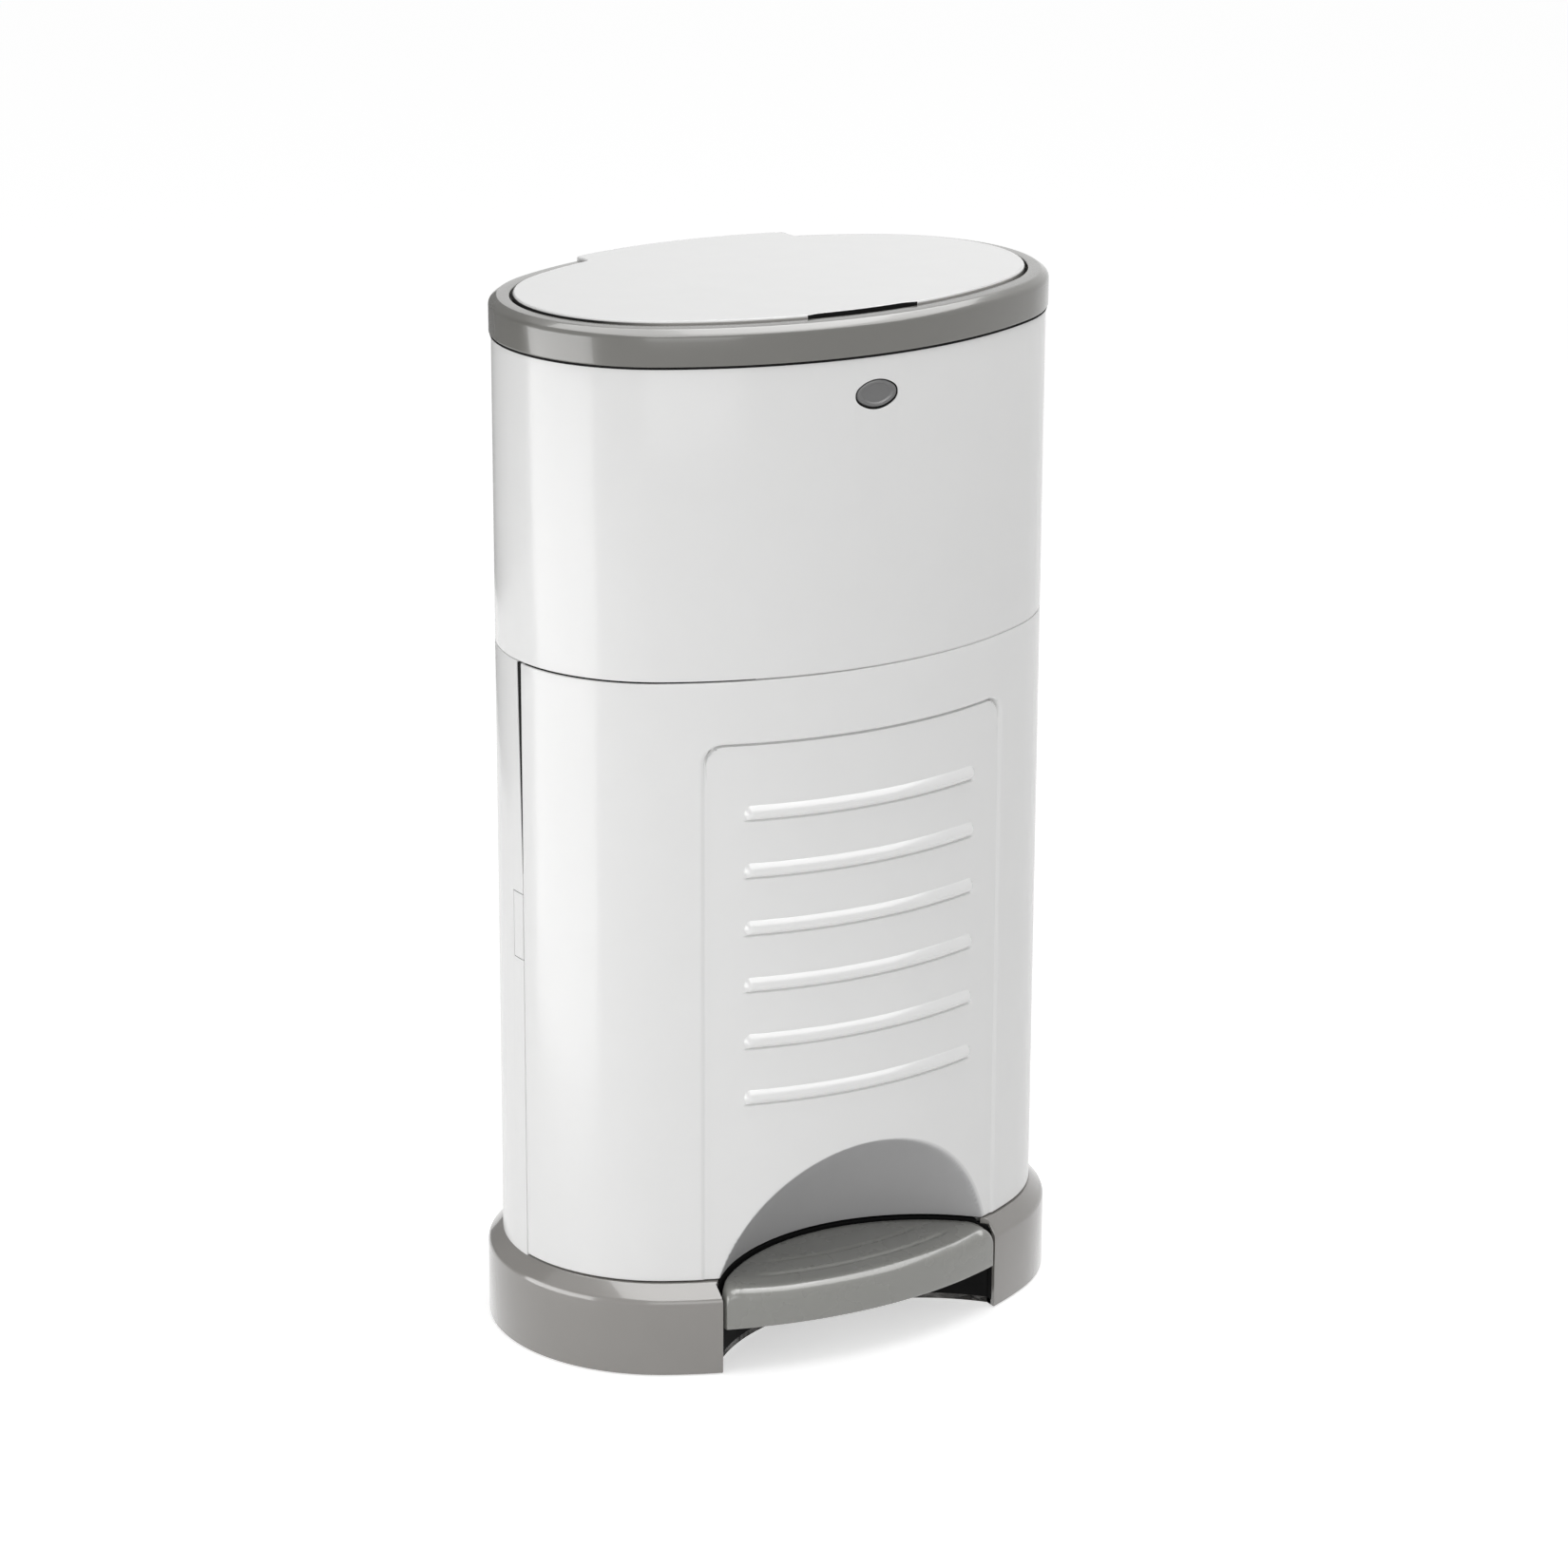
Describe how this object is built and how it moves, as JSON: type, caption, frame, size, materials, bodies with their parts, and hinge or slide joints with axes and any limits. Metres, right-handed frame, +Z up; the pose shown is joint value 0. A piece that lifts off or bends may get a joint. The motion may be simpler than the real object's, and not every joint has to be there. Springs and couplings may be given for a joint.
{
  "type": "nappy bin",
  "caption": "Tall oval nappy bin with a grey plinth, foot pedal in a toe scoop, hinged front door, grey top rim with trap doors, and a flat lid.",
  "frame": {"origin": "on the floor under the middle of the plinth's outline", "axes": "+Z up, the front with the pedal and door faces -Y, +X to the right seen from the front"},
  "size_m": [0.309, 0.214, 0.5355],
  "materials": {
    "white_shell": "fine satin moulding, slightly warm white",
    "warm_grey_trim": "fine matt grain, warm grey",
    "scoop_grey": "matt mid-grey",
    "pedal_grey": "matt grey with light grooves",
    "button_grey": "satin mid-grey",
    "inner_plastic": "plain natural moulding",
    "cassette_plastic": "thin plain moulding",
    "liner_film": "pleated thin film",
    "black_rubber": "matt rubber",
    "grey_seal": "soft matt seal",
    "bright_steel": "zinc-plated or drawn steel"
  },
  "bodies": {
    "cabinet": {"base_plinth": "warm_grey_trim", "floor_pan": "inner_plastic", "rear_shell": "white_shell", "upper_housing": "white_shell", "cassette_tray": "inner_plastic", "liner_cassette": "cassette_plastic", "film_pack": "liner_film", "rod_guides": "inner_plastic", "rod_cover": "inner_plastic", "pedal_brackets": "inner_plastic", "rubber_feet": "black_rubber", "base_screws": "bright_steel", "tray_screws": "bright_steel", "button_guide": "inner_plastic", "door_hinge_pins": "bright_steel", "rim_hinge_pin": "bright_steel", "pedal_axle": "bright_steel", "pedal_spring": "bright_steel", "bag_cutter": "inner_plastic", "cutter_blade": "bright_steel", "latch_spring": "bright_steel", "button_spring": "bright_steel"},
    "rim_unit": {"top_rim": "warm_grey_trim", "trap_cradle": "inner_plastic", "rim_seal": "grey_seal", "rim_catch": "inner_plastic", "cradle_screws": "bright_steel", "flap_axles": "bright_steel", "flap_springs": "bright_steel", "lid_hinge_pin": "bright_steel"},
    "lid_unit": {"lid": "white_shell", "lid_liner": "inner_plastic", "lid_seal": "grey_seal"},
    "yoke": {"lift_yoke": "inner_plastic"},
    "left_flap": {"trap_door_left": "inner_plastic", "flap_seal_left": "grey_seal"},
    "right_flap": {"trap_door_right": "inner_plastic", "flap_seal_right": "grey_seal"},
    "rod": {"push_rod": "bright_steel", "rod_foot": "inner_plastic"},
    "pedal_unit": {"pedal": "pedal_grey", "pedal_lever": "inner_plastic"},
    "door_unit": {"front_door": "white_shell", "toe_recess": "scoop_grey", "door_keeper": "inner_plastic"},
    "latch_tab": {"door_latch": "white_shell"},
    "button": {"release_button": "button_grey"}
  },
  "joints": [
    {"name": "pedal_tilt", "type": "hinge", "parent": "cabinet", "child": "pedal_unit", "pos_m": [0, -0.009, 0.022], "axis": [1, 0, 0], "range_deg": [0, 10.5], "stiffness_Nm_per_rad": 1.5, "springref_deg": -5.73},
    {"name": "rod_lift", "type": "slide", "parent": "cabinet", "child": "rod", "axis": [0, 0, 1], "range_m": [0, 0.017]},
    {"name": "rim_hinge", "type": "hinge", "parent": "cabinet", "child": "rim_unit", "pos_m": [0, 0.1032, 0.5153], "axis": [-1, 0, 0], "range_deg": [0, 80]},
    {"name": "lid_hinge", "type": "hinge", "parent": "rim_unit", "child": "lid_unit", "pos_m": [0, 0.092, 0.527], "axis": [-1, 0, 0], "range_deg": [0, 75]},
    {"name": "yoke_lift", "type": "slide", "parent": "rim_unit", "child": "yoke", "axis": [0, 0, 1], "range_m": [0, 0.017]},
    {"name": "flap_left", "type": "hinge", "parent": "rim_unit", "child": "left_flap", "pos_m": [-0.08, 0, 0.478], "axis": [0, 1, 0], "range_deg": [0, 80]},
    {"name": "flap_right", "type": "hinge", "parent": "rim_unit", "child": "right_flap", "pos_m": [0.08, 0, 0.478], "axis": [0, -1, 0], "range_deg": [0, 80]},
    {"name": "door_hinge", "type": "hinge", "parent": "cabinet", "child": "door_unit", "pos_m": [0.1428, -0.005, 0.2], "axis": [0, 0, 1], "range_deg": [0, 95]},
    {"name": "latch_press", "type": "slide", "parent": "cabinet", "child": "latch_tab", "axis": [1, 0, 0], "range_m": [0, 0.003], "stiffness_N_per_m": 300, "springref_m": -0.002, "deforming": ["latch_spring"]},
    {"name": "button_press", "type": "slide", "parent": "cabinet", "child": "button", "axis": [0, 1, 0], "range_m": [0, 0.003], "stiffness_N_per_m": 300, "springref_m": -0.002, "deforming": ["button_spring"]}
  ],
  "couplings": [
    {"joint": "rod_lift", "follows": "pedal_tilt", "m_per_rad": 0.0927},
    {"joint": "lid_hinge", "follows": "pedal_tilt", "ratio": 7.14},
    {"joint": "yoke_lift", "follows": "pedal_tilt", "m_per_rad": 0.0927},
    {"joint": "flap_left", "follows": "pedal_tilt", "ratio": 7.615},
    {"joint": "flap_right", "follows": "pedal_tilt", "ratio": 7.615}
  ]
}
